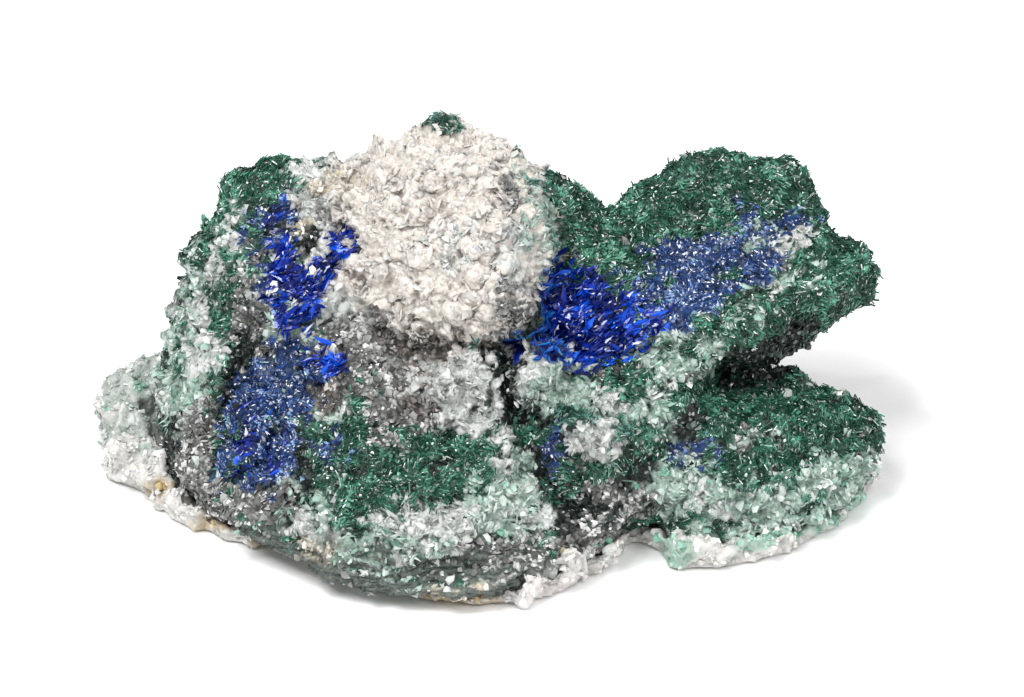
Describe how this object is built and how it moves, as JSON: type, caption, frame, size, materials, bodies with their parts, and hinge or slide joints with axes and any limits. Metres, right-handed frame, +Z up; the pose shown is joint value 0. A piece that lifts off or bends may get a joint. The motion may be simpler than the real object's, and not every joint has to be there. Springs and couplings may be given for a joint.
{
  "type": "linarite specimen",
  "caption": "Hand-sized mineral specimen: a wedge of grey layered rock with deep blue linarite blades, green needles and a white crystal mound on a milky quartz base; rests flat.",
  "frame": {"origin": "centre of the flat underside that the specimen rests on", "axes": "+Z up, +X along the specimen's length towards its forked end, -Y towards the side that the crystal face leans down to"},
  "size_m": [0.0594, 0.035, 0.0259],
  "materials": {
    "rock": "layered grey rock under a crust of green and grey crystals",
    "quartz": "milky quartz with amber and grey patches, wet-looking broken faces",
    "white_crystal": "sugary cream-white crystal grains",
    "linarite": "deep azure bladed crystals with bright faces",
    "white_plates": "thin white bladed crystals, silky",
    "green_needles": "emerald green needles, glassy"
  },
  "bodies": {
    "root": {"host_rock": "rock", "quartz_base": "quartz", "white_mound": "white_crystal", "linarite_centre": "linarite", "linarite_upper_left": "linarite", "linarite_middle": "linarite", "linarite_lower_left": "linarite", "white_tuft_centre": "white_plates", "white_tuft_right": "white_plates", "white_tuft_lower_right": "white_plates", "white_tuft_lower": "white_plates", "green_knob": "green_needles"}
  },
  "joints": []
}
